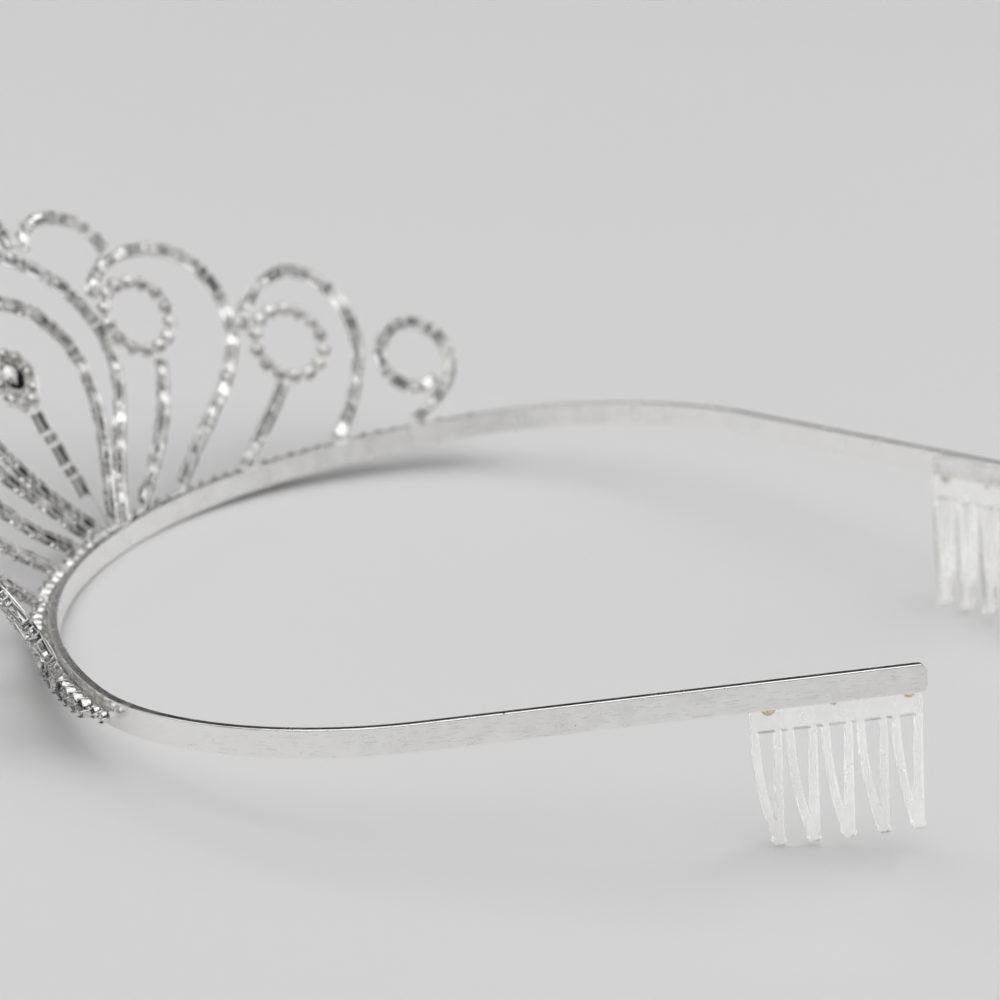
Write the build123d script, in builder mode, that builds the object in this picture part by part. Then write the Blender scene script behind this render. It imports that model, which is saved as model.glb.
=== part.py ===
from build123d import *
import os
from math import atan2, cos, degrees, radians, sin

os.makedirs("parts", exist_ok=True)

# A bridal tiara: a sprung silver strip with a hair comb on each arm, a rail of claw-set stones
# round its front, and wire scrolls of channel-set and round stones that lean outwards above it.
# Lengths are millimetres and angles degrees. The wearer looks along -Y, and +X is their left.

# Headband strip
STRIP_HEIGHT = 3.25
STRIP_THICKNESS = 1.0
STRIP_EDGE_ROUND = 0.15
STRIP_END_ROUND = 0.9
FRONT_RADIUS = 92.4
FRONT_TURN = 44.5
SIDE_RADIUS = 32.5
SIDE_TURN = 76.0
ARM_LENGTH = 56.5

# Hair combs, measured down from the strip's top edge
COMB_LENGTH = 19.4
COMB_DROP = 20.2
COMB_THICKNESS = 1.2
COMB_TOP = 0.4
COMB_SPINE_HEIGHT = 5.7
COMB_CORNER = 0.6
COMB_END_SETBACK = 0.3
TOOTH_COUNT = 5
TOOTH_WIDTH = 3.3
TOOTH_WAIST = 2.75
TOOTH_LEG = 0.68
TOOTH_TIP = 1.15
TOOTH_SWEEP = 1.7
TOOTH_FOOT = 1.5
TOOTH_FOOT_HEIGHT = 1.05
TOOTH_FOOT_ROUND = 0.45
TOOTH_SLOT_FOOT = 0.2
TOOTH_WEB_HEIGHT = 3.5
TOOTH_ROOT = 0.3
TOOTH_BEND_RADIUS = 45.0
TOOTH_BEND = 21.0

# Glue beads under the strip's lower edge: how far each sits from the arm's end, and its radius
GLUE_BEADS = ((1.6, 0.7), (10.2, 0.5), (17.6, 0.85))

# Rail and scroll wires
WIRE_RADIUS = 0.22
RAIL_RADIUS = 0.35
RAIL_DEPTH = 1.6
RAIL_HALF_LENGTH = 76.5
FLARE = 30.0
SOLDER = 0.05
FIRST_CUP_HEIGHT = 2.2
CURVE_SAMPLES = 60
KNOT_STEP = 4
STRAIGHTNESS = 0.99999
RING_GAP = 0.15

# Scrolls, laid out flat on the left half of the flared sheet. Each point is the length along the
# band from the front and the height up the flare, and the first is the foot on the rail.
SCROLLS = {
    "inner_loop": ((0.8, 0.3), (10.6, 13.0), (13.8, 23.0), (11.2, 30.8), (6.2, 34.3), (0.0, 35.5)),
    "outer_loop": ((4.2, 0.3), (14.0, 12.4), (20.2, 24.0), (18.4, 32.4), (10.6, 40.2), (0.0, 42.8)),
    "middle_arch": ((17.0, 0.3), (31.9, 10.4), (41.2, 22.5), (38.2, 33.4), (29.4, 35.9), (21.9, 31.2)),
    "crest_arch": ((27.3, 36.9), (25.4, 41.2), (21.0, 43.6), (16.9, 42.8), (15.1, 40.2)),
    "side_arch": ((46.9, 0.3), (57.3, 10.8), (58.8, 20.5), (53.1, 27.9), (45.9, 25.4), (42.7, 21.0)),
}
CROWN_ARCH = ((12.7, 41.0), (12.2, 46.0), (7.5, 51.5), (0.0, 53.5))
END_CURL = ((60.3, 0.3), (66.6, 4.1), (71.2, 8.6), (71.0, 14.0), (66.7, 17.0), (62.2, 14.0), (62.4, 9.3),
            (65.6, 7.3), (68.5, 8.2))

# Circles on stems: the stem's points up to the circle, then the circle's centre and radius.
CIRCLES = {
    "inner_circle": (((6.7, 0.3), (15.7, 5.5), (25.2, 15.1), (27.9, 20.9)), (27.5, 26.7), 5.2),
    "outer_circle": (((29.6, 0.3), (38.4, 5.6), (46.1, 12.5)), (48.9, 17.4), 5.2),
}
CENTRE_CIRCLE = (((0.0, 0.3), (0.0, 10.0), (0.0, 20.6)), (0.0, 24.6), 3.6)
CENTRE_STEM_CUP_HEIGHT = 6.5

# Channel-set baguettes and the square spacers between them
BAGUETTE_LENGTH = 2.7
BAGUETTE_WIDTH = 1.7
SPACER_LENGTH = 1.1
CHAIN_GAP = 0.25
CUP_DEPTH = 1.0
CUP_FLOOR = 0.35
CHANNEL_WALL = 0.2
CLAW = 0.32
CLAW_RISE = 0.28

# Round settings
ROUND_RADIUS = 1.0
ROUND_PITCH = 2.35
RAIL_CUP_RADIUS = 1.15
RAIL_CUP_PITCH = 2.55
RAIL_CUP_DEPTH = 1.5
END_CUP_RADIUS = 0.7
END_CUP_PITCH = 1.7
END_CUPS = 2
CENTRE_CUP_RADIUS = 2.45
CENTRE_CUP_DEPTH = 1.5
ROUND_WALL = 0.2
CLAW_COUNT = 4

# Stones
STONE_CLEARANCE = 0.02
STONE_SIDES = 8
CROWN_SHARE = 0.32
CROWN_TAPER = 38.0
PAVILION_SHARE = 0.45
PAVILION_TAPER = 30.0

# Standing on a table, the tiara rests on the front of the strip and on the first comb teeth.
HALF_LENGTH = radians(FRONT_TURN) * FRONT_RADIUS + radians(SIDE_TURN) * SIDE_RADIUS + ARM_LENGTH
FIRST_TOOTH_REACH = 98.9
REST_TILT = degrees(atan2(COMB_DROP - STRIP_HEIGHT, FIRST_TOOTH_REACH))
FRONT_SETBACK = 39.8
RIM_HEIGHT = STRIP_HEIGHT * cos(radians(REST_TILT)) + STRIP_THICKNESS / 2 * sin(radians(REST_TILT))
UP = Vector(0, -sin(radians(REST_TILT)), cos(radians(REST_TILT)))
BAND = Plane(origin=(0, -FRONT_SETBACK, RIM_HEIGHT), x_dir=(1, 0, 0), z_dir=UP)
RAIL_OFFSET = STRIP_THICKNESS / 2 + RAIL_RADIUS - SOLDER


# Headband strip: half the centreline, from the front to one arm's end, lies along the top edge.
with BuildLine(BAND) as half_line:
    front_arc = JernArc(start=(0, 0), tangent=(1, 0), radius=FRONT_RADIUS, arc_size=FRONT_TURN)
    side_arc = JernArc(
        start=front_arc @ 1, tangent=front_arc % 1, radius=SIDE_RADIUS, arc_size=SIDE_TURN
    )
    arm_line = Line(side_arc @ 1, (side_arc @ 1) + (side_arc % 1) * ARM_LENGTH)
HALF_PATH = Wire([front_arc, side_arc, arm_line])


def band_station(s):
    """The point on the strip's top centreline at length s from the front, and outwards there."""
    side = 1 if s >= 0 else -1
    at = HALF_PATH.position_at(abs(s), position_mode=PositionMode.LENGTH)
    along = HALF_PATH.tangent_at(abs(s), position_mode=PositionMode.LENGTH)
    out = along.cross(UP).normalized()
    return Vector(side * at.X, at.Y, at.Z), Vector(side * out.X, out.Y, out.Z)


def sheet_point(s, h, lift=0.0):
    """A point of the flared sheet: s along the band, h up the flare, lift off its outer face."""
    at, out = band_station(s)
    rise = out * sin(radians(FLARE)) + UP * cos(radians(FLARE))
    face = out * cos(radians(FLARE)) - UP * sin(radians(FLARE))
    return at - UP * RAIL_DEPTH + out * RAIL_OFFSET + rise * h + face * lift


def sheet_face(s):
    """The outer face's direction on the flared sheet, at length s from the front."""
    _, out = band_station(s)
    return out * cos(radians(FLARE)) - UP * sin(radians(FLARE))


strip_end, strip_end_out = band_station(HALF_LENGTH)
STRIP_END_FACE = Plane(origin=strip_end, x_dir=strip_end_out.cross(UP), z_dir=-strip_end_out)

with BuildPart() as headband_strip:
    with BuildLine() as strip_path:
        add(HALF_PATH)
    section_plane = Plane(origin=BAND.origin - UP * STRIP_HEIGHT / 2, x_dir=BAND.y_dir, z_dir=(1, 0, 0))
    with BuildSketch(section_plane) as strip_section:
        RectangleRounded(STRIP_THICKNESS, STRIP_HEIGHT, STRIP_EDGE_ROUND)
    sweep(path=strip_path.wire())
    with BuildSketch(STRIP_END_FACE) as end_waste:
        Rectangle(2 * STRIP_END_ROUND, STRIP_HEIGHT, align=(Align.CENTER, Align.MAX))
        with Locations((STRIP_END_ROUND, -STRIP_HEIGHT / 2)):
            with GridLocations(1, STRIP_HEIGHT - 2 * STRIP_END_ROUND, 1, 2):
                Circle(STRIP_END_ROUND, mode=Mode.SUBTRACT)
        with Locations((STRIP_END_ROUND, -STRIP_HEIGHT / 2)):
            Rectangle(2 * STRIP_END_ROUND, STRIP_HEIGHT - 2 * STRIP_END_ROUND, mode=Mode.SUBTRACT)
    extrude(amount=STRIP_THICKNESS, both=True, mode=Mode.SUBTRACT)
    mirror(about=Plane.YZ)
headband_strip.part.label = "headband_strip"
export_step(headband_strip.part, "parts/headband_strip.step")


# Hair combs: each lies on the inner face of an arm, its teeth pointing down from the band.
# In a comb's own plane x runs forward from the arm's end, y up, and z inwards.
arm_end, arm_out = band_station(HALF_LENGTH - COMB_END_SETBACK)
COMB_FACE = Plane(origin=arm_end - arm_out * STRIP_THICKNESS / 2, x_dir=arm_out.cross(UP), z_dir=-arm_out)
COMB_SIDE = Plane(origin=COMB_FACE.origin, x_dir=UP, z_dir=COMB_FACE.x_dir)
SPINE_FOOT = -COMB_TOP - COMB_SPINE_HEIGHT
TOOTH_NECK = -COMB_DROP + TOOTH_FOOT_HEIGHT / 2
SLOT_FOOT = -COMB_DROP + TOOTH_WEB_HEIGHT
TOOTH_PITCH = (COMB_LENGTH - TOOTH_WIDTH) / (TOOTH_COUNT - 1)


def swept(middle, height):
    """Where a tooth's middle line stands at a height: the teeth sweep back towards their feet."""
    depth = min((height - SPINE_FOOT) / (TOOTH_NECK - SPINE_FOOT), 1.0)
    return middle - TOOTH_SWEEP * max(depth, 0.0) ** 2


def bowed_taper(middle, top, foot, top_width, waist_width, foot_width):
    """The closed outline of a tooth or of the slot in it: both sides bow in towards the foot."""
    waist = (top + foot) / 2
    waist_middle = swept(middle, waist)
    foot_middle = swept(middle, foot)
    for side in (-0.5, 0.5):
        ThreePointArc(
            (middle + side * top_width, top),
            (waist_middle + side * waist_width, waist),
            (foot_middle + side * foot_width, foot),
        )
    Line((middle - top_width / 2, top), (middle + top_width / 2, top))
    Line((foot_middle - foot_width / 2, foot), (foot_middle + foot_width / 2, foot))


with BuildPart() as comb_left:
    with BuildSketch(COMB_FACE) as comb_outline:
        with Locations((COMB_LENGTH / 2, -COMB_TOP - COMB_SPINE_HEIGHT / 2)):
            RectangleRounded(COMB_LENGTH, COMB_SPINE_HEIGHT, COMB_CORNER)
        for tooth in range(TOOTH_COUNT):
            tooth_middle = TOOTH_WIDTH / 2 + tooth * TOOTH_PITCH
            with BuildLine() as tooth_outline:
                bowed_taper(tooth_middle, SPINE_FOOT + TOOTH_ROOT, TOOTH_NECK,
                            TOOTH_WIDTH, TOOTH_WAIST, TOOTH_TIP)
            make_face()
            with BuildLine() as slot_outline:
                bowed_taper(tooth_middle, SPINE_FOOT, SLOT_FOOT, TOOTH_WIDTH - 2 * TOOTH_LEG,
                            TOOTH_WAIST - 2 * TOOTH_LEG, TOOTH_SLOT_FOOT)
            make_face(mode=Mode.SUBTRACT)
            with Locations((swept(tooth_middle, TOOTH_NECK), TOOTH_NECK)):
                RectangleRounded(TOOTH_FOOT, TOOTH_FOOT_HEIGHT, TOOTH_FOOT_ROUND)
    extrude(amount=TOOTH_BEND_RADIUS)
    with BuildSketch(COMB_SIDE) as comb_curve:
        with BuildLine() as curve_outline:
            Line((0, 0), (SPINE_FOOT, 0))
            Line((0, COMB_THICKNESS), (SPINE_FOOT, COMB_THICKNESS))
            bend_centre = (SPINE_FOOT, TOOTH_BEND_RADIUS)
            outer_bend = CenterArc(bend_centre, TOOTH_BEND_RADIUS, 270, -TOOTH_BEND)
            inner_bend = CenterArc(bend_centre, TOOTH_BEND_RADIUS - COMB_THICKNESS, 270, -TOOTH_BEND)
            Line(outer_bend @ 1, inner_bend @ 1)
            Line((0, 0), (0, COMB_THICKNESS))
        make_face()
    extrude(amount=COMB_LENGTH, both=True, mode=Mode.INTERSECT)
comb_left.part.label = "comb_left"
export_step(comb_left.part, "parts/comb_left.step")

with BuildPart() as comb_right:
    mirror(comb_left.part, about=Plane.YZ)
comb_right.part.label = "comb_right"
export_step(comb_right.part, "parts/comb_right.step")


# Glue beads fill the corner between the strip's lower edge and the comb behind it.
with BuildPart() as comb_glue_left:
    for reach, radius in GLUE_BEADS:
        with Locations(COMB_FACE * Location((reach, -STRIP_HEIGHT, 0))):
            Sphere(radius)
    with Locations(COMB_FACE * Location((COMB_LENGTH / 2, -STRIP_HEIGHT, 0))):
        Box(COMB_LENGTH, STRIP_HEIGHT, STRIP_HEIGHT, align=(Align.CENTER, Align.MIN, Align.CENTER),
            mode=Mode.SUBTRACT)
        Box(COMB_LENGTH, STRIP_HEIGHT, STRIP_HEIGHT, align=(Align.CENTER, Align.CENTER, Align.MIN),
            mode=Mode.SUBTRACT)
comb_glue_left.part.label = "comb_glue_left"
export_step(comb_glue_left.part, "parts/comb_glue_left.step")

with BuildPart() as comb_glue_right:
    mirror(comb_glue_left.part, about=Plane.YZ)
comb_glue_right.part.label = "comb_glue_right"
export_step(comb_glue_right.part, "parts/comb_glue_right.step")


# Settings and stones are made once, standing on the XY plane, and then set in place.
BASE = (Align.CENTER, Align.CENTER, Align.MIN)


def round_setting(radius, depth, claws=0):
    """A round cup with a recess for its stone, and claws if it has them standing round its rim."""
    with BuildPart() as setting:
        Cylinder(radius, depth, align=BASE)
        if claws:
            with PolarLocations(radius - ROUND_WALL + CLAW / 2, claws, start_angle=45):
                Cylinder(CLAW / 2, depth + CLAW_RISE, align=BASE)
        with Locations((0, 0, CUP_FLOOR)):
            Cylinder(radius - ROUND_WALL, depth + CLAW_RISE, align=BASE, mode=Mode.SUBTRACT)
    return setting.part


def channel_setting(length):
    """An open box with a recess for its stone."""
    with BuildPart() as setting:
        Box(length, BAGUETTE_WIDTH, CUP_DEPTH, align=BASE)
        with Locations((0, 0, CUP_FLOOR)):
            Box(length - 2 * CHANNEL_WALL, BAGUETTE_WIDTH - 2 * CHANNEL_WALL, CUP_DEPTH, align=BASE,
                mode=Mode.SUBTRACT)
    return setting.part


def cut_stone(girdle, half_width, depth):
    """A stone from the outline of its girdle: a tapered crown above and a pavilion below."""
    with BuildPart() as stone:
        with BuildSketch(Plane.XY.offset(depth)) as crown_base:
            add(girdle)
        extrude(amount=CROWN_SHARE * half_width, taper=CROWN_TAPER)
        with BuildSketch(Plane.XY.offset(depth)) as pavilion_base:
            add(girdle)
        extrude(amount=-PAVILION_SHARE * half_width, taper=PAVILION_TAPER)
    return stone.part


def round_stone(radius, depth):
    """A round stone for a round setting of the same radius and depth."""
    girdle_radius = radius - ROUND_WALL - STONE_CLEARANCE
    with BuildSketch() as girdle:
        RegularPolygon(girdle_radius, STONE_SIDES)
    return cut_stone(girdle.sketch, girdle_radius, min(depth, CUP_FLOOR + girdle_radius))


def channel_stone(length):
    """A step-cut stone for a channel setting of the same length."""
    across = BAGUETTE_WIDTH - 2 * (CHANNEL_WALL + STONE_CLEARANCE)
    along = length - 2 * (CHANNEL_WALL + STONE_CLEARANCE)
    with BuildSketch() as girdle:
        Rectangle(along, across)
    return cut_stone(girdle.sketch, min(along, across) / 2, CUP_DEPTH)


BAGUETTE = (channel_setting(BAGUETTE_LENGTH), channel_stone(BAGUETTE_LENGTH))
SPACER = (channel_setting(SPACER_LENGTH), channel_stone(SPACER_LENGTH))
ROUND = (round_setting(ROUND_RADIUS, CUP_DEPTH), round_stone(ROUND_RADIUS, CUP_DEPTH))
RAIL_CUP = (round_setting(RAIL_CUP_RADIUS, RAIL_CUP_DEPTH, CLAW_COUNT),
            round_stone(RAIL_CUP_RADIUS, RAIL_CUP_DEPTH))
END_CUP = (round_setting(END_CUP_RADIUS, CUP_DEPTH), round_stone(END_CUP_RADIUS, CUP_DEPTH))
CENTRE_CUP = (round_setting(CENTRE_CUP_RADIUS, CENTRE_CUP_DEPTH, CLAW_COUNT),
              round_stone(CENTRE_CUP_RADIUS, CENTRE_CUP_DEPTH))


class SheetLine:
    """A line drawn flat as length and height, and wrapped onto one half of the flared sheet."""

    def __init__(self, flat_edge, side):
        steps = [flat_edge @ (i / CURVE_SAMPLES) for i in range(CURVE_SAMPLES + 1)]
        self.flat = [(side * step.X, step.Y) for step in steps]
        self.points = [sheet_point(s, h) for s, h in self.flat]
        self.reach = [0.0]
        for before, after in zip(self.points, self.points[1:]):
            self.reach.append(self.reach[-1] + (after - before).length)

    def length(self):
        """The wrapped line's whole length."""
        return self.reach[-1]

    def reach_at_height(self, height):
        """How far along the line first reaches a height up the flare."""
        for (_, h), reach in zip(self.flat, self.reach):
            if h >= height:
                return reach
        return self.length()

    def cup_plane(self, reach):
        """Where a cup stands on the wire: x along the wire and z out of the sheet's face."""
        i = 1
        while self.reach[i] < reach and i < CURVE_SAMPLES:
            i += 1
        share = (reach - self.reach[i - 1]) / (self.reach[i] - self.reach[i - 1])
        (s0, h0), (s1, h1) = self.flat[i - 1], self.flat[i]
        s, h = s0 + share * (s1 - s0), h0 + share * (h1 - h0)
        return Plane(origin=sheet_point(s, h, WIRE_RADIUS - SOLDER),
                     x_dir=self.points[i] - self.points[i - 1], z_dir=sheet_face(s))

    def wire(self, radius=WIRE_RADIUS):
        """Round wire along the line."""
        knots = [*self.points[:-1:KNOT_STEP], self.points[-1]]
        chord = (self.points[-1] - self.points[0]).length
        with BuildPart() as wire:
            with BuildLine() as wire_path:
                if chord > STRAIGHTNESS * self.length():
                    Line(self.points[0], self.points[-1])
                else:
                    Spline(*knots)
            with BuildSketch(Plane(origin=wire_path.line @ 0, z_dir=wire_path.line % 0)) as wire_section:
                Circle(radius)
            sweep()
        return wire.part


def flat_spline(points):
    """A smooth line through the points of a scroll's flat layout."""
    with BuildLine() as flat:
        Spline(*points)
    return flat.edge()


def flat_circle(centre, radius):
    """A circle of the flat layout whose two ends meet at its foot."""
    gap = degrees(RING_GAP / radius)
    with BuildLine() as flat:
        CenterArc(centre, radius, -90 + gap / 2, 360 - gap)
    return flat.edge()


def chain_planes(line, first, last):
    """Baguette planes and spacer planes that fill a stretch of a line, baguettes at both ends."""
    pitch = BAGUETTE_LENGTH + SPACER_LENGTH + 2 * CHAIN_GAP
    spacers = int((last - first - BAGUETTE_LENGTH) / pitch)
    stride = (last - first - BAGUETTE_LENGTH) / max(spacers, 1)
    baguettes = [line.cup_plane(first + BAGUETTE_LENGTH / 2 + i * stride) for i in range(spacers + 1)]
    between = [line.cup_plane(first + BAGUETTE_LENGTH / 2 + (i + 0.5) * stride) for i in range(spacers)]
    return baguettes, between


def ring_planes(line, pitch):
    """Planes for round cups evenly spaced round a closed line."""
    count = int(line.length() / pitch)
    return [line.cup_plane(line.length() * (i + 0.5) / count) for i in range(count)]


def export_group(name, placed):
    """One node of separate solids: each shape is set on each of its planes."""
    with BuildPart() as group:
        for shape, planes in placed:
            with Locations(*planes):
                add(shape)
    group.part.label = name
    export_step(group.part, f"parts/{name}.step")


def export_solid(name, part):
    """One node of one solid."""
    part.label = name
    export_step(part, f"parts/{name}.step")


# The rail and its row of claw-set stones run round the front of the strip.
with BuildLine() as rail_flat:
    Line((-RAIL_HALF_LENGTH, 0), (RAIL_HALF_LENGTH, 0))
RAIL = SheetLine(rail_flat.edge(), 1)
export_solid("base_rail", RAIL.wire(RAIL_RADIUS))


def rail_plane(s):
    """Where a cup stands upright on the rail: x along the strip and z outwards."""
    _, out = band_station(s)
    return Plane(origin=sheet_point(s, 0) + out * (RAIL_RADIUS - SOLDER), x_dir=UP.cross(out), z_dir=out)


end_row = END_CUPS * END_CUP_PITCH
rail_gaps = int(2 * (RAIL_HALF_LENGTH - end_row) / RAIL_CUP_PITCH)
rail_start = rail_gaps * RAIL_CUP_PITCH / 2
rail_planes = [rail_plane(i * RAIL_CUP_PITCH - rail_start) for i in range(rail_gaps + 1)]
end_starts = [rail_start + (RAIL_CUP_PITCH + END_CUP_PITCH) / 2 + i * END_CUP_PITCH for i in range(END_CUPS)]
end_planes = [rail_plane(side * start) for side in (-1, 1) for start in end_starts]
export_group("rail_claw_cups", ((RAIL_CUP[0], rail_planes), (END_CUP[0], end_planes)))
export_group("rail_stones", ((RAIL_CUP[1], rail_planes), (END_CUP[1], end_planes)))


# Scrolls: each wire stands in its own node, and so do the cups along it. The stones of a scroll
# and of its mirror image share a node.
SIDES = {"left": 1, "right": -1}


def channel_run(line, first, last):
    """Settings and stones of a run of baguettes with spacers between."""
    baguettes, spacers = chain_planes(line, first, last)
    return [(BAGUETTE, baguettes), (SPACER, spacers)]


def export_scroll(name, side_name, wire, runs):
    """The wire and the cups of one scroll, whose stones are returned with their planes."""
    export_solid(f"{name}_wire{side_name}", wire)
    export_group(f"{name}_cups{side_name}", [(kind[0], planes) for kind, planes in runs])
    return [(kind[1], planes) for kind, planes in runs]


def stemmed_circle(stem_points, centre, radius, side, first_cup_height):
    """A wire stem soldered under a ring: both wires, and the runs of cups on them."""
    stem = SheetLine(flat_spline(stem_points), side)
    ring = SheetLine(flat_circle(centre, radius), side)
    with BuildPart() as wire:
        add(stem.wire())
        add(ring.wire())
    stem_end = stem.length() - ROUND_RADIUS - CHAIN_GAP
    runs = channel_run(stem, stem.reach_at_height(first_cup_height), stem_end)
    runs.append((ROUND, ring_planes(ring, ROUND_PITCH)))
    return wire.part, runs


for name, points in SCROLLS.items():
    stones = []
    for side_name, side in SIDES.items():
        line = SheetLine(flat_spline(points), side)
        runs = channel_run(line, line.reach_at_height(FIRST_CUP_HEIGHT), line.length() - CHAIN_GAP / 2)
        stones += export_scroll(name, f"_{side_name}", line.wire(), runs)
    export_group(f"{name}_stones", stones)

for name, (stem_points, centre, radius) in CIRCLES.items():
    stones = []
    for side_name, side in SIDES.items():
        wire, runs = stemmed_circle(stem_points, centre, radius, side, FIRST_CUP_HEIGHT)
        stones += export_scroll(name, f"_{side_name}", wire, runs)
    export_group(f"{name}_stones", stones)

curl_stones = []
for side_name, side in SIDES.items():
    line = SheetLine(flat_spline(END_CURL), side)
    runs = channel_run(line, line.reach_at_height(FIRST_CUP_HEIGHT), line.length())
    curl_stones += export_scroll("end_curl", f"_{side_name}", line.wire(), runs)
export_group("end_curl_stones", curl_stones)

crown_points = [(-s, h) for s, h in CROWN_ARCH[:-1]] + list(CROWN_ARCH[::-1])
crown_line = SheetLine(flat_spline(crown_points), 1)
crown_runs = channel_run(crown_line, 0, crown_line.length())
crown_stones = export_scroll("crown_arch", "", crown_line.wire(), crown_runs)
export_group("crown_arch_stones", crown_stones)

centre_wire, centre_runs = stemmed_circle(*CENTRE_CIRCLE, 1, CENTRE_STEM_CUP_HEIGHT)
centre_cup_plane = Plane(origin=sheet_point(*CENTRE_CIRCLE[1]), x_dir=(1, 0, 0), z_dir=sheet_face(0))
centre_stones = export_scroll("centre_halo", "", centre_wire, centre_runs)
export_group("centre_halo_stones", centre_stones)
export_group("centre_claw_cup", [(CENTRE_CUP[0], [centre_cup_plane])])
export_group("centre_stone", [(CENTRE_CUP[1], [centre_cup_plane])])
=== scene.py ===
import math
import random

import bpy
import numpy as np
from mathutils import Matrix, Vector


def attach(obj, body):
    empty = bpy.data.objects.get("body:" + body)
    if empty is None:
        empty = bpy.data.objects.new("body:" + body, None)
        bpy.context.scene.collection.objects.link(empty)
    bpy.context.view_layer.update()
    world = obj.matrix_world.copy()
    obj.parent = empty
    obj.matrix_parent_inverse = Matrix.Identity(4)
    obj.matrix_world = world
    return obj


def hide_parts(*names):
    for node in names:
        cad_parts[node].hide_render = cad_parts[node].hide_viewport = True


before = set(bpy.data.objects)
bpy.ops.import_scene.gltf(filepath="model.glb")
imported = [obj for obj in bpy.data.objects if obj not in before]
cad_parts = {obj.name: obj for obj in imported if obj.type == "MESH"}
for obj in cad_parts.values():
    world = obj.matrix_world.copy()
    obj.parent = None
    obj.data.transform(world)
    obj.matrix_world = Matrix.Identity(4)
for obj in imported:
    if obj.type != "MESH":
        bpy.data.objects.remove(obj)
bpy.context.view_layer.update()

# Everything is in metres, in the CAD's frame. Settings and stones are drawn in millimetres on a
# flat base: x along the chain, y across it and z outwards from the back of the setting.
MM = 0.001
SEED = 7

# Camera, at the photograph's viewing angle
CAMERA_AT = (395.50 * MM, 127.43 * MM, 149.03 * MM)
CAMERA_RIGHT = (-0.313890, 0.943238, 0.108513)
CAMERA_UP = (-0.257824, -0.194673, 0.946377)
CAMERA_FORWARD = (-0.913783, -0.269081, -0.304295)
LENS = 124.14
SENSOR_WIDTH = 36.0
NEAREST_SEEN = 0.01
FOCUS_AT = (67.3 * MM, -5.6 * MM, 9.1 * MM)
FSTOP = 36.0

# Reading the CAD settings. Lengths that end in _M are metres; the others are millimetres.
WELD_M = 1e-6
SAME_PLANE_M = 3e-5
SLIVER = 1e-14
PARALLEL = 0.9995
RECTANGLE_TRIANGLES = 4
BAGUETTE_WIDTH = 1.7
EDGE_TOLERANCE = 0.06

# How far the settings and stones stray from the CAD, as hand-set chain does
TILT = 0.12
SIZE_SPREAD = 0.02
WIRE_SLIMMING_M = 0.09 * MM

# How finely they are drawn
CORNER_STEPS = 3
ROUND_STEPS = 24
CLAW_SIDES = 7

# The four corners of a rectangle, anticlockwise
CORNERS = ((1, 1), (-1, 1), (-1, -1), (1, -1))


# ---------------------------------------------------------------- reading the CAD settings
def islands(node):
    """The separate solids of a CAD node, each as its triangles' corner points in metres."""
    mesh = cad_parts[node].data
    points = np.empty(len(mesh.vertices) * 3)
    mesh.vertices.foreach_get("co", points)
    points = points.reshape(-1, 3)
    _, label = np.unique(np.round(points / WELD_M).astype(np.int64), axis=0, return_inverse=True)
    label = label.ravel()
    mesh.calc_loop_triangles()
    corners = np.empty(len(mesh.loop_triangles) * 3, dtype=np.int64)
    mesh.loop_triangles.foreach_get("vertices", corners)
    corners = corners.reshape(-1, 3)
    welded = label[corners]
    root = np.arange(label.max() + 1)
    while True:
        lowered = root.copy()
        np.minimum.at(lowered, welded.ravel(), np.repeat(root[welded].min(axis=1), 3))
        lowered = lowered[lowered]
        if np.array_equal(lowered, root):
            break
        root = lowered
    group = root[welded[:, 0]]
    return [points[corners[group == g]] for g in np.unique(group)]


def length_direction(back):
    """The edge of a rectangle that runs along the chain, from the triangles of the rectangle."""
    edges = [b - a for tri in back for a, b in ((tri[0], tri[1]), (tri[1], tri[2]), (tri[2], tri[0]))]
    edges.sort(key=np.linalg.norm)
    short, long = edges[0], edges[len(edges) // 2]
    across_is_short = abs(np.linalg.norm(short) / MM - BAGUETTE_WIDTH) < EDGE_TOLERANCE
    return long if across_is_short else short


def setting_frame(triangles):
    """Where a setting stands: its back's centre, its axes, its length and its radius.

    The back is the setting's largest flat face. A round setting has no length, and a
    rectangular one has no radius.
    """
    cross = np.cross(triangles[:, 1] - triangles[:, 0], triangles[:, 2] - triangles[:, 0])
    area = np.linalg.norm(cross, axis=1)
    keep = area > SLIVER
    triangles, cross, area = triangles[keep], cross[keep], area[keep]
    normal = cross / area[:, None]
    height = np.einsum("ij,ij->i", normal, triangles[:, 0])
    level = np.abs(height[:, None] - height[None, :]) < SAME_PLANE_M
    same = (normal @ normal.T > PARALLEL) & level
    best = int((same * area[None, :]).sum(axis=1).argmax())
    back = triangles[same[best]]
    weight = area[same[best]]
    centre = (back.mean(axis=1) * weight[:, None]).sum(axis=0) / weight.sum()
    out = -normal[best]
    if len(back) <= RECTANGLE_TRIANGLES:
        along = length_direction(back)
        length = np.linalg.norm(along) / MM
        radius = 0.0
    else:
        along = back[0, 0] - centre
        length = 0.0
        radius = math.sqrt(weight.sum() / 2 / math.pi) / MM
    along = along - out * (along @ out)
    along /= np.linalg.norm(along)
    return centre, along, np.cross(out, along), out, length, radius


# ---------------------------------------------------------------- drawing in mesh code
class Shape:
    """Points and faces in millimetres, drawn once and set in place many times."""

    def __init__(self):
        self.points, self.faces, self.slots, self.smooth = [], [], [], []

    def ring(self, points):
        """Add points and give back their numbers."""
        first = len(self.points)
        self.points.extend(points)
        return list(range(first, first + len(points)))

    def face(self, corners, slot=0, smooth=True):
        """Add one face."""
        self.faces.append(tuple(corners))
        self.slots.append(slot)
        self.smooth.append(smooth)

    def skin(self, low, high, slot=0, smooth=True):
        """Join two rings with four-sided faces."""
        for i in range(len(low)):
            j = (i + 1) % len(low)
            self.face((low[i], low[j], high[j], high[i]), slot, smooth)


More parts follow.
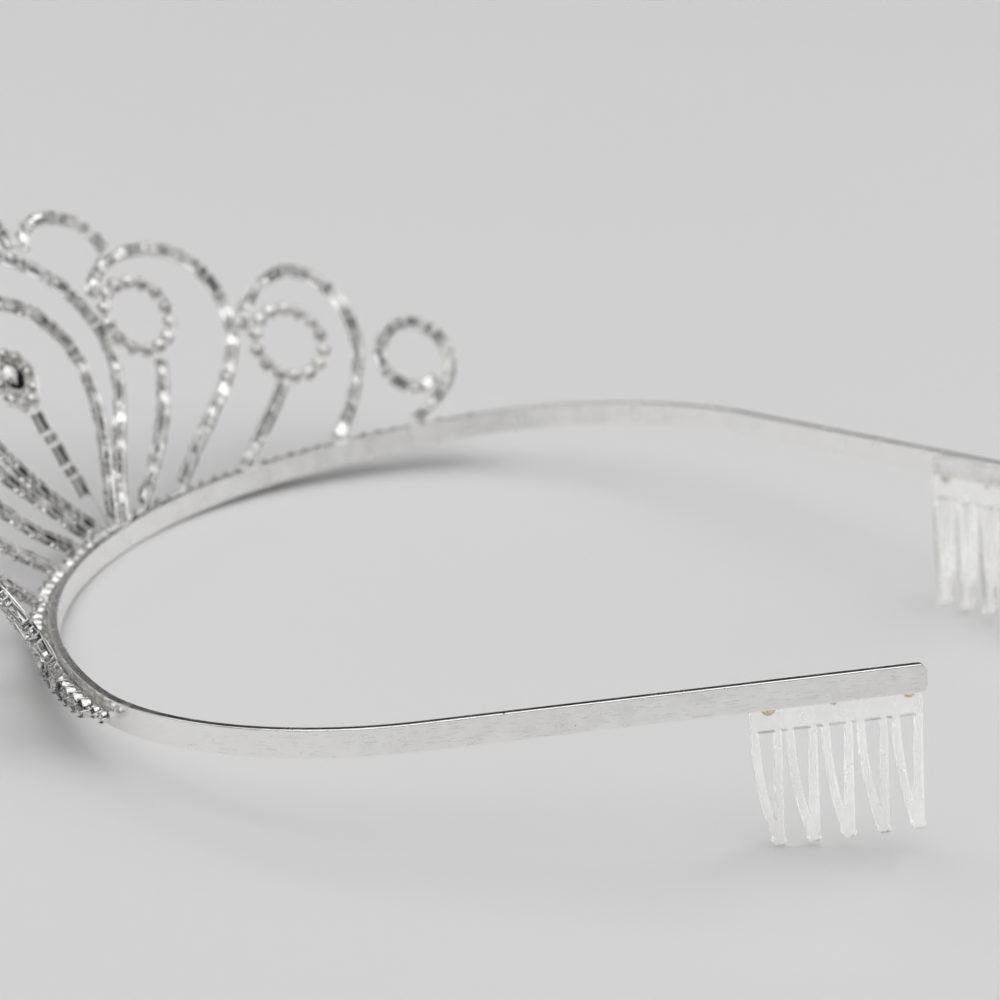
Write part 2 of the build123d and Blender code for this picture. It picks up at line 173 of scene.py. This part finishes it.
def rounded_rectangle(length, width, corner, z):
    """A flat ring of points with rounded corners, anticlockwise from above."""
    points = []
    for quarter, (sx, sy) in enumerate(CORNERS):
        for step in range(CORNER_STEPS + 1):
            angle = math.pi / 2 * (quarter + step / CORNER_STEPS)
            points.append((sx * (length / 2 - corner) + corner * math.cos(angle),
                           sy * (width / 2 - corner) + corner * math.sin(angle), z))
    return points


def circle(radius, z, steps=ROUND_STEPS, turn=0.0):
    """A flat ring of points on a circle."""
    return [(radius * math.cos(turn + 2 * math.pi * i / steps),
             radius * math.sin(turn + 2 * math.pi * i / steps), z) for i in range(steps)]


# The small third part keeps the sideways direction from vanishing.
SIDEWAYS_LEAN = 0.001


def claw(shape, path, radii):
    """A tapered round claw along a path, closed at both ends."""
    path = [Vector(p) for p in path]
    before = None
    for i, (at, radius) in enumerate(zip(path, radii)):
        along = (path[min(i + 1, len(path) - 1)] - path[max(i - 1, 0)]).normalized()
        side = along.cross(Vector((path[0].y, -path[0].x, SIDEWAYS_LEAN))).normalized()
        up = along.cross(side)
        ring = shape.ring([tuple(at + side * radius * math.cos(a) + up * radius * math.sin(a))
                           for a in (2 * math.pi * k / CLAW_SIDES for k in range(CLAW_SIDES))])
        if before is None:
            shape.face(ring[::-1])
        else:
            shape.skin(before, ring)
        before = ring
    shape.face(before)


# Rectangular settings. A bar is its outer inset, inner inset, lowest and highest point. A claw's
# station is how far it leans in over the stone there, its height and its radius.
BAR_BEVEL = 0.03
LOWER_BAR = (0.00, 0.20, 0.00, 0.16)
UPPER_BAR = (0.00, 0.11, 0.84, 0.95)
BAR_CORNER = 0.18
SHARPEST_CORNER = 0.05
CLAW_INSET = 0.08
CHANNEL_CLAW = ((0.00, 0.04, 0.13), (0.00, 0.92, 0.13), (0.05, 1.04, 0.12),
                (0.15, 1.12, 0.10), (0.24, 1.13, 0.05))


def rim_bar(shape, length, outer, inner, low, high):
    """A bevelled bar bent round the setting, between two insets and two heights."""
    b = BAR_BEVEL
    profile = ((outer + b, low), (outer, low + b), (outer, high - b), (outer + b, high),
               (inner - b, high), (inner, high - b), (inner, low + b), (inner - b, low))
    rings = []
    for inset, z in profile:
        corner = max(SHARPEST_CORNER, BAR_CORNER - inset / 2)
        outline = rounded_rectangle(length - 2 * inset, BAGUETTE_WIDTH - 2 * inset, corner, z)
        rings.append(shape.ring(outline))
    for ring, following in zip(rings, rings[1:] + rings[:1]):
        shape.skin(ring, following)


def channel_cup(length):
    """An open setting: a seat bar, a rim bar over it and a claw up each corner."""
    shape = Shape()
    rim_bar(shape, length, *LOWER_BAR)
    rim_bar(shape, length, *UPPER_BAR)
    for sx, sy in CORNERS:
        x, y = sx * (length / 2 - CLAW_INSET), sy * (BAGUETTE_WIDTH / 2 - CLAW_INSET)
        path = [(x - sx * lean, y - sy * lean, z) for lean, z, _ in CHANNEL_CLAW]
        claw(shape, path, [radius for _, _, radius in CHANNEL_CLAW])
    return shape


# What a stone's facets are made of, as the numbers of its material slots
CLEAR = 0
FOILED = 1

# Step-cut stones, from the back to the table: inset, corner chamfer, height, and what the facets
# that lead up to that level are made of
STEP_LEVELS = ((0.36, 0.05, 0.05, FOILED), (0.21, 0.06, 0.14, FOILED), (0.12, 0.07, 0.30, FOILED),
               (0.12, 0.07, 0.86, CLEAR), (0.24, 0.08, 1.00, CLEAR), (0.38, 0.07, 1.07, CLEAR))
NARROWEST_STEP = 0.06
LARGEST_CHAMFER = 0.6


def step_cut(length):
    """A step-cut stone: chamfered corners, two crown steps, a table and a stepped pavilion."""
    shape = Shape()
    before = None
    for inset, chamfer, z, slot in STEP_LEVELS:
        a = max(length / 2 - inset, NARROWEST_STEP)
        b = BAGUETTE_WIDTH / 2 - inset
        c = min(chamfer, a * LARGEST_CHAMFER, b * LARGEST_CHAMFER)
        ring = shape.ring([(a, -b + c, z), (a, b - c, z), (a - c, b, z), (-a + c, b, z),
                           (-a, b - c, z), (-a, -b + c, z), (-a + c, -b, z), (a - c, -b, z)])
        if before is None:
            shape.face(ring[::-1], slot, False)
        else:
            shape.skin(before, ring, slot, False)
        before = ring
    shape.face(before, CLEAR, False)
    return shape


# Round cups. The profile is an inset and a height for a cup CUP_DRAWN_DEPTH deep: below CUP_WAIST
# the inset is a share of the radius, and above it a length. A claw's station is its inset, its
# height as a share of the cup's depth and then of the claw's rise over the rim, and its radius.
CUP_DRAWN_DEPTH = 0.9
CUP_WAIST = 0.5
CUP_PROFILE = ((0.52, 0.00), (0.42, 0.02), (0.30, 0.07), (0.19, 0.15), (0.09, 0.26), (0.03, 0.39),
               (0.00, 0.52), (0.00, 0.80), (0.02, 0.87), (0.06, 0.90), (0.11, 0.89), (0.14, 0.84),
               (0.15, 0.50))
CUP_CLAW = ((0.06, 0.25, 0.00, 0.15), (0.02, 0.90, 0.00, 0.16), (0.06, 1.00, 0.45, 0.15),
            (0.18, 1.00, 0.85, 0.12), (0.32, 1.00, 1.00, 0.06))


def round_cup(radius, depth, claws, rise):
    """A round pressed cup with a domed back and claws folded over its stone."""
    shape = Shape()
    scale = depth / CUP_DRAWN_DEPTH
    before = None
    for inset, z in CUP_PROFILE:
        outer = radius - inset * radius if z < CUP_WAIST else radius - inset
        ring = shape.ring(circle(outer, z * scale))
        if before is None:
            shape.face(ring[::-1])
        else:
            shape.skin(before, ring)
        before = ring
    shape.face(before)
    for i in range(claws):
        angle = 2 * math.pi * (i + 0.5) / claws
        path = [((radius - inset) * math.cos(angle), (radius - inset) * math.sin(angle),
                 depth * up + rise * over) for inset, up, over, _ in CUP_CLAW]
        claw(shape, path, [thickness for _, _, _, thickness in CUP_CLAW])
    return shape


# Brilliants: ring radii, and heights over the girdle, as shares of the stone's radius
TABLE = (0.56, 0.36)
STAR = (0.80, 0.24)
GIRDLE_TOP = 0.05
GIRDLE_FOOT = -0.03
PAVILION = (0.45, -0.38)
CULET_DEPTH = 0.52


def brilliant(radius, girdle):
    """A round brilliant with a table, stars, kites and girdle facets, on a foiled pavilion."""
    shape = Shape()
    half_facet = math.pi / 8
    table = shape.ring(circle(radius * TABLE[0], girdle + radius * TABLE[1], 8))
    middle = shape.ring(circle(radius * STAR[0], girdle + radius * STAR[1], 8, half_facet))
    top = shape.ring(circle(radius, girdle + radius * GIRDLE_TOP, 16))
    bottom = shape.ring(circle(radius, girdle + radius * GIRDLE_FOOT, 16))
    lower = shape.ring(circle(radius * PAVILION[0], girdle + radius * PAVILION[1], 8))
    culet = shape.ring([(0, 0, girdle - radius * CULET_DEPTH)])[0]
    shape.face(table, CLEAR, False)
    for k in range(8):
        n = (k + 1) % 8
        following = (2 * k + 2) % 16
        shape.face((table[k], middle[k], table[n]), CLEAR, False)
        shape.face((table[k], middle[k - 1], top[2 * k], middle[k]), CLEAR, False)
        shape.face((middle[k], top[2 * k], top[2 * k + 1]), CLEAR, False)
        shape.face((middle[k], top[2 * k + 1], top[following]), CLEAR, False)
        shape.face((bottom[2 * k], lower[k], bottom[2 * k + 1]), FOILED, False)
        shape.face((bottom[2 * k + 1], lower[k], lower[n], bottom[following]), FOILED, False)
        shape.face((lower[k], culet, lower[n]), FOILED, False)
    shape.skin(bottom, top, CLEAR, False)
    return shape


def piece(name, placed, materials, node):
    """One object from shapes set in place, standing for its CAD node."""
    points, faces, slots, smooth = [], [], [], []
    for shape, matrix in placed:
        first = len(points)
        local = np.array(shape.points) * MM
        points.extend((local @ matrix[:3, :3].T + matrix[:3, 3]).tolist())
        faces.extend(tuple(first + i for i in f) for f in shape.faces)
        slots.extend(shape.slots)
        smooth.extend(shape.smooth)
    mesh = bpy.data.meshes.new(name)
    mesh.from_pydata(points, [], faces)
    mesh.polygons.foreach_set("material_index", slots)
    mesh.polygons.foreach_set("use_smooth", smooth)
    for material in materials:
        mesh.materials.append(material)
    mesh.validate()
    obj = bpy.data.objects.new(name, mesh)
    bpy.context.scene.collection.objects.link(obj)
    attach(obj, "root")
    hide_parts(node)


# ---------------------------------------------------------------- materials
# Noise scales are in grains a metre, so 1000 is a grain of about a millimetre. Bump depths are in
# metres.
def new_material(name):
    """A node material: the material, its tree, its Principled shader and its coordinates."""
    material = bpy.data.materials.new(name)
    material.use_nodes = True
    tree = material.node_tree
    shader = tree.nodes["Principled BSDF"]
    coordinates = tree.nodes.new("ShaderNodeTexCoord").outputs["Object"]
    return material, tree, shader, coordinates


def add_noise(tree, vector, scale, detail=3.0, stretch=None, tilt=0.0):
    """A noise texture's value, with its coordinates turned and stretched if asked."""
    if stretch:
        turn = tree.nodes.new("ShaderNodeMapping")
        turn.inputs["Rotation"].default_value = (tilt, 0, 0)
        tree.links.new(vector, turn.inputs["Vector"])
        mapping = tree.nodes.new("ShaderNodeMapping")
        mapping.inputs["Scale"].default_value = stretch
        tree.links.new(turn.outputs["Vector"], mapping.inputs["Vector"])
        vector = mapping.outputs["Vector"]
    noise = tree.nodes.new("ShaderNodeTexNoise")
    noise.inputs["Scale"].default_value = scale
    noise.inputs["Detail"].default_value = detail
    tree.links.new(vector, noise.inputs["Vector"])
    return noise.outputs["Fac"]


def add_ramp(tree, value, low, high, start=0.3, end=0.7):
    """A value or colour that runs from low to high as the input runs from start to end."""
    if isinstance(low, float):
        ramp = tree.nodes.new("ShaderNodeMapRange")
        ramp.inputs["From Min"].default_value = start
        ramp.inputs["From Max"].default_value = end
        ramp.inputs["To Min"].default_value = low
        ramp.inputs["To Max"].default_value = high
        tree.links.new(value, ramp.inputs["Value"])
        return ramp.outputs["Result"]
    ramp = tree.nodes.new("ShaderNodeValToRGB")
    ramp.color_ramp.elements[0].position = start
    ramp.color_ramp.elements[1].position = end
    ramp.color_ramp.elements[0].color = (*low, 1)
    ramp.color_ramp.elements[1].color = (*high, 1)
    tree.links.new(value, ramp.inputs["Fac"])
    return ramp.outputs["Color"]


def add_bump(tree, shader, value, depth, under=None):
    """A bump of a depth in metres on the shader's normal, over an earlier one if given."""
    bump = tree.nodes.new("ShaderNodeBump")
    bump.inputs["Distance"].default_value = depth
    bump.inputs["Strength"].default_value = 1.0
    tree.links.new(value, bump.inputs["Height"])
    if under:
        tree.links.new(under, bump.inputs["Normal"])
    tree.links.new(bump.outputs["Normal"], shader.inputs["Normal"])
    return bump.outputs["Normal"]


WHITE = (1.0, 1.0, 1.0)
DENT = 1.5e-5
GRAIN_SHARE = 0.06


def silver(name, low, high, smoothest, roughest):
    """Bright plate: soft dents, cloudy roughness and a darker, warmer tone in patches."""
    material, tree, shader, at = new_material(name)
    shader.inputs["Metallic"].default_value = 1.0
    patches = add_noise(tree, at, scale=260.0, detail=4.0)
    tree.links.new(add_ramp(tree, patches, low, high), shader.inputs["Base Color"])
    cloud = add_noise(tree, at, scale=900.0)
    tree.links.new(add_ramp(tree, cloud, smoothest, roughest), shader.inputs["Roughness"])
    soft = add_bump(tree, shader, add_noise(tree, at, scale=1100.0, detail=1.0), depth=DENT)
    grain = add_noise(tree, at, scale=9000.0, detail=2.0)
    add_bump(tree, shader, grain, depth=DENT * GRAIN_SHARE, under=soft)
    return material


# The strip falls by STRIP_FALL from its front over STRIP_REACH of its arms, and the drawn lines
# and scratches follow it.
STRIP_FALL = 16.95
STRIP_REACH = 98.9
SPECK_COLOUR = (0.20, 0.16, 0.12, 1)
SPECK_STRETCH = (1, 1, 2.0)
DRAWN_STRETCH = (60, 60, 9000)
SCRATCH_STRETCH = (500, 500, 16000)


def strip_plate():
    """Plated strip: drawn lines along its length, fine scratches, smudges and dark specks."""
    material, tree, shader, at = new_material("strip_plate")
    tilt = -math.atan2(STRIP_FALL, STRIP_REACH)
    shader.inputs["Metallic"].default_value = 1.0
    patches = add_noise(tree, at, scale=90.0, detail=4.0)
    clean = add_ramp(tree, patches, (0.97, 0.965, 0.95), (1.0, 1.0, 0.995))
    grit = add_noise(tree, at, scale=1500.0, detail=3.0, stretch=SPECK_STRETCH, tilt=tilt)
    specks = add_ramp(tree, grit, 0.0, 1.0, start=0.73, end=0.76)
    mix = tree.nodes.new("ShaderNodeMix")
    mix.data_type = "RGBA"
    tree.links.new(specks, mix.inputs["Factor"])
    tree.links.new(clean, mix.inputs["A"])
    mix.inputs["B"].default_value = SPECK_COLOUR
    tree.links.new(mix.outputs["Result"], shader.inputs["Base Color"])
    smudges = add_noise(tree, at, scale=400.0, detail=4.0)
    tree.links.new(add_ramp(tree, smudges, 0.16, 0.30), shader.inputs["Roughness"])
    drawn = add_noise(tree, at, scale=1.0, detail=2.0, stretch=DRAWN_STRETCH, tilt=tilt)
    lines = add_bump(tree, shader, drawn, depth=4e-6)
    streaks = add_noise(tree, at, scale=1.0, detail=2.0, stretch=SCRATCH_STRETCH, tilt=tilt)
    scratches = add_ramp(tree, streaks, 0.0, 1.0, start=0.66, end=0.70)
    lines = add_bump(tree, shader, scratches, depth=-5e-6, under=lines)
    add_bump(tree, shader, add_noise(tree, at, scale=120.0, detail=1.0), depth=4e-5, under=lines)
    return material


CRYSTAL_COLOUR = (0.98, 0.99, 1.0, 1)
CRYSTAL_IOR = 1.58


def crystal():
    """Clear crystal with a faint smear on its facets."""
    material, tree, shader, at = new_material("crystal_clear")
    shader.inputs["Base Color"].default_value = CRYSTAL_COLOUR
    shader.inputs["Transmission Weight"].default_value = 1.0
    shader.inputs["IOR"].default_value = CRYSTAL_IOR
    smear = add_noise(tree, at, scale=1400.0)
    tree.links.new(add_ramp(tree, smear, 0.0, 0.05), shader.inputs["Roughness"])
    add_bump(tree, shader, add_noise(tree, at, scale=1800.0, detail=1.0), depth=3e-6)
    return material


def foil():
    """The mirror foil behind a stone, dark in patches."""
    material, tree, shader, at = new_material("stone_foil")
    shader.inputs["Metallic"].default_value = 1.0
    patches = add_noise(tree, at, scale=340.0, detail=1.0)
    tint = add_ramp(tree, patches, (0.07, 0.07, 0.08), WHITE, start=0.44, end=0.56)
    tree.links.new(tint, shader.inputs["Base Color"])
    cloud = add_noise(tree, at, scale=1600.0)
    tree.links.new(add_ramp(tree, cloud, 0.02, 0.10), shader.inputs["Roughness"])
    return material


PLASTIC_IOR = 1.36
PLASTIC_GLOW = (1.0, 1.0, 0.98, 1)
CLOUD_STRETCH = (1, 1, 0.35)
FLOW_STRETCH = (1, 1, 0.25)


def plastic():
    """Clear moulded plastic: flow lines, scuffs, and a glow in place of light scattered inside."""
    material, tree, shader, at = new_material("comb_plastic")
    cloud = add_noise(tree, at, scale=260.0, detail=4.0, stretch=CLOUD_STRETCH)
    tree.links.new(add_ramp(tree, cloud, (0.95, 0.95, 0.94), WHITE), shader.inputs["Base Color"])
    tree.links.new(add_ramp(tree, cloud, 0.88, 0.66), shader.inputs["Transmission Weight"])
    shader.inputs["IOR"].default_value = PLASTIC_IOR
    shader.inputs["Emission Color"].default_value = PLASTIC_GLOW
    tree.links.new(add_ramp(tree, cloud, 0.06, 0.12), shader.inputs["Emission Strength"])
    scuffs = add_noise(tree, at, scale=700.0)
    tree.links.new(add_ramp(tree, scuffs, 0.06, 0.28), shader.inputs["Roughness"])
    lines = add_noise(tree, at, scale=500.0, detail=2.0, stretch=FLOW_STRETCH)
    flow = add_bump(tree, shader, lines, depth=3e-5)
    add_bump(tree, shader, add_noise(tree, at, scale=3500.0, detail=2.0), depth=4e-6, under=flow)
    return material


GLUE_CLARITY = 0.75


def adhesive():
    """Set adhesive: yellowed and uneven."""
    material, tree, shader, at = new_material("yellowed_glue")
    patches = add_noise(tree, at, scale=900.0)
    tint = add_ramp(tree, patches, (0.80, 0.66, 0.38), (0.95, 0.90, 0.72))
    tree.links.new(tint, shader.inputs["Base Color"])
    shader.inputs["Transmission Weight"].default_value = GLUE_CLARITY
    cloud = add_noise(tree, at, scale=1500.0)
    tree.links.new(add_ramp(tree, cloud, 0.12, 0.4), shader.inputs["Roughness"])
    add_bump(tree, shader, add_noise(tree, at, scale=2500.0, detail=3.0), depth=5e-5)
    return material


STRIP = strip_plate()
WIRE = silver("wire_plate", (0.86, 0.85, 0.83), (0.98, 0.98, 0.97), smoothest=0.06, roughest=0.20)
CUP = silver("cup_plate", (0.50, 0.49, 0.46), (1.0, 1.0, 0.98), smoothest=0.03, roughest=0.11)
CRYSTAL = crystal()
FOIL = foil()
PLASTIC = plastic()
GLUE = adhesive()

# ---------------------------------------------------------------- settings and stones
draw = random.Random(SEED)
settings = {}
for node in sorted(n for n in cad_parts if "_cups" in n or n == "centre_claw_cup"):
    settings[node] = []
    for solid in islands(node):
        centre, along, across, out, length, radius = setting_frame(solid)
        turn = Matrix.Rotation(draw.uniform(-TILT, TILT), 3, "X")
        turn = turn @ Matrix.Rotation(draw.uniform(-TILT, TILT), 3, "Y")
        turn = turn @ Matrix.Rotation(draw.uniform(-TILT, TILT) / 2, 3, "Z")
        size = 1 + draw.uniform(-SIZE_SPREAD, SIZE_SPREAD)
        matrix = np.eye(4)
        matrix[:3, :3] = np.column_stack((along, across, out)) @ np.array(turn) * size
        matrix[:3, 3] = centre
        settings[node].append((matrix, length, radius))

# Round cups, as small ones, large ones along the rail and the one at the centre
LARGE_RADIUS = 1.0
CENTRE_RADIUS = 2
SMALL_DEPTH, LARGE_DEPTH = 1.0, 1.5
SMALL_RISE, LARGE_RISE = 0.26, 0.34
FEW_CLAWS, MANY_CLAWS = 4, 8
STONE_INSET = 0.15
GIRDLE_SINK = 0.06
channels = {}
rounds = {}


def shapes_for(length, radius):
    """The setting and the stone for a length or radius, drawn once each."""
    if length:
        key = round(length, 1)
        if key not in channels:
            channels[key] = (channel_cup(key), step_cut(key))
        return channels[key]
    key = round(radius, 1)
    if key not in rounds:
        depth = LARGE_DEPTH if radius > LARGE_RADIUS else SMALL_DEPTH
        rise = LARGE_RISE if radius > LARGE_RADIUS else SMALL_RISE
        claws = MANY_CLAWS if radius > CENTRE_RADIUS else FEW_CLAWS
        stone = brilliant(radius - STONE_INSET, depth - GIRDLE_SINK)
        rounds[key] = (round_cup(radius, depth, claws, rise), stone)
    return rounds[key]


for node, placed in settings.items():
    cups = [(shapes_for(length, radius)[0], matrix) for matrix, length, radius in placed]
    piece(node + "_plated", cups, (CUP,), node)

CUPS_OF = {"rail_stones": "rail_claw_cups", "centre_stone": "centre_claw_cup"}
for node in sorted(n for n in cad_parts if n.endswith("stones") or n == "centre_stone"):
    source = CUPS_OF.get(node, node.replace("_stones", "_cups"))
    placed = [setting for name in settings if name.startswith(source) for setting in settings[name]]
    stones = [(shapes_for(length, radius)[1], matrix) for matrix, length, radius in placed]
    piece(node + "_cut", stones, (CRYSTAL, FOIL), node)

# ---------------------------------------------------------------- scroll wires
for name in sorted(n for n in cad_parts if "_wire" in n):
    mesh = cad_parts[name].data.copy()
    points = np.empty(len(mesh.vertices) * 3)
    normals = np.empty(len(mesh.loops) * 3)
    corner_points = np.empty(len(mesh.loops), dtype=np.int64)
    mesh.vertices.foreach_get("co", points)
    mesh.corner_normals.foreach_get("vector", normals)
    mesh.loops.foreach_get("vertex_index", corner_points)
    outwards = np.zeros((len(mesh.vertices), 3))
    outwards[corner_points] = normals.reshape(-1, 3)
    slimmed = points.reshape(-1, 3) - outwards * WIRE_SLIMMING_M
    mesh.vertices.foreach_set("co", slimmed.ravel())
    mesh.name = name + "_drawn"
    mesh.materials.clear()
    mesh.materials.append(WIRE)
    slim = bpy.data.objects.new(name + "_drawn", mesh)
    bpy.context.scene.collection.objects.link(slim)
    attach(slim, "root")
    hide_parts(name)

# ---------------------------------------------------------------- CAD nodes that stay
for name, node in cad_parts.items():
    if name == "headband_strip":
        finish = STRIP
    elif name.startswith("comb_glue"):
        finish = GLUE
    elif name.startswith("comb"):
        finish = PLASTIC
    else:
        finish = WIRE
    for material_slot in node.material_slots:
        material_slot.link = "OBJECT"
        material_slot.material = finish

# ---------------------------------------------------------------- floor
FLOOR_HALF = 3.0
FLOOR_CLOUD_SCALE = 3.0
FLOOR_ROUGHNESS = 0.6
FLOOR_SHEEN = 0.25
floor_mesh = bpy.data.meshes.new("floor")
floor_points = [(-FLOOR_HALF, -FLOOR_HALF, 0), (FLOOR_HALF, -FLOOR_HALF, 0),
                (FLOOR_HALF, FLOOR_HALF, 0), (-FLOOR_HALF, FLOOR_HALF, 0)]
floor_mesh.from_pydata(floor_points, [], [(0, 1, 2, 3)])
floor = bpy.data.objects.new("floor", floor_mesh)
bpy.context.scene.collection.objects.link(floor)
paper, paper_tree, paper_shader, paper_at = new_material("pale_paper")
paper_cloud = add_noise(paper_tree, paper_at, FLOOR_CLOUD_SCALE)
paper_tint = add_ramp(paper_tree, paper_cloud, (0.795, 0.79, 0.79), (0.815, 0.81, 0.81))
paper_tree.links.new(paper_tint, paper_shader.inputs["Base Color"])
paper_shader.inputs["Roughness"].default_value = FLOOR_ROUGHNESS
paper_shader.inputs["Specular IOR Level"].default_value = FLOOR_SHEEN
floor_mesh.materials.append(paper)

# ---------------------------------------------------------------- surroundings
# White and dark cards stand round the tiara, with more white the higher they are.
CARD_SCALE = 5.0
CARD_RISE = 0.7
CARD_OFFSET = -0.49
CARD_EDGE = (0.47, 0.53)
DARK_CARD = (0.012, 0.012, 0.014)
SURROUND_STRENGTH = 1.2
world = bpy.data.worlds.new("studio")
bpy.context.scene.world = world
world.use_nodes = True
sky = world.node_tree
surround = sky.nodes["Background"]
direction = sky.nodes.new("ShaderNodeTexCoord").outputs["Generated"]
split = sky.nodes.new("ShaderNodeSeparateXYZ")
sky.links.new(direction, split.inputs["Vector"])
rise = sky.nodes.new("ShaderNodeMath")
rise.operation = "MULTIPLY_ADD"
rise.inputs[1].default_value = CARD_RISE
rise.inputs[2].default_value = CARD_OFFSET
sky.links.new(split.outputs["Z"], rise.inputs[0])
room = sky.nodes.new("ShaderNodeMath")
sky.links.new(add_noise(sky, direction, CARD_SCALE, detail=1.0), room.inputs[0])
sky.links.new(rise.outputs["Value"], room.inputs[1])
cards = add_ramp(sky, room.outputs["Value"], DARK_CARD, WHITE, *CARD_EDGE)
sky.links.new(cards, surround.inputs["Color"])
surround.inputs["Strength"].default_value = SURROUND_STRENGTH


# ---------------------------------------------------------------- lights
def softbox(name, at, width, height, power):
    """A large soft light that points at the middle of the floor."""
    light = bpy.data.lights.new(name, "AREA")
    light.shape = "RECTANGLE"
    light.size = width
    light.size_y = height
    light.energy = power
    obj = bpy.data.objects.new(name, light)
    obj.location = at
    obj.rotation_euler = (-Vector(at)).to_track_quat("-Z", "Y").to_euler()
    bpy.context.scene.collection.objects.link(obj)


softbox("top_light", (0.0, 0.3, 1.5), width=2.6, height=2.6, power=6.5)
softbox("side_light", (0.3, -1.4, 0.9), width=1.2, height=0.8, power=2.0)
softbox("back_light", (-1.3, 0.9, 1.0), width=1.0, height=0.8, power=2.0)

# ---------------------------------------------------------------- camera
camera = bpy.data.cameras.new("camera")
camera.lens = LENS
camera.sensor_width = SENSOR_WIDTH
camera.clip_start = NEAREST_SEEN
camera.dof.use_dof = True
focus = bpy.data.objects.new("focus", None)
focus.location = FOCUS_AT
bpy.context.scene.collection.objects.link(focus)
camera.dof.focus_object = focus
camera.dof.aperture_fstop = FSTOP
camera_object = bpy.data.objects.new("camera", camera)
bpy.context.scene.collection.objects.link(camera_object)
axes = Matrix((CAMERA_RIGHT, CAMERA_UP, -Vector(CAMERA_FORWARD))).transposed()
camera_object.matrix_world = Matrix.Translation(CAMERA_AT) @ axes.to_4x4()
bpy.context.scene.camera = camera_object
bpy.context.scene.view_settings.view_transform = "Standard"
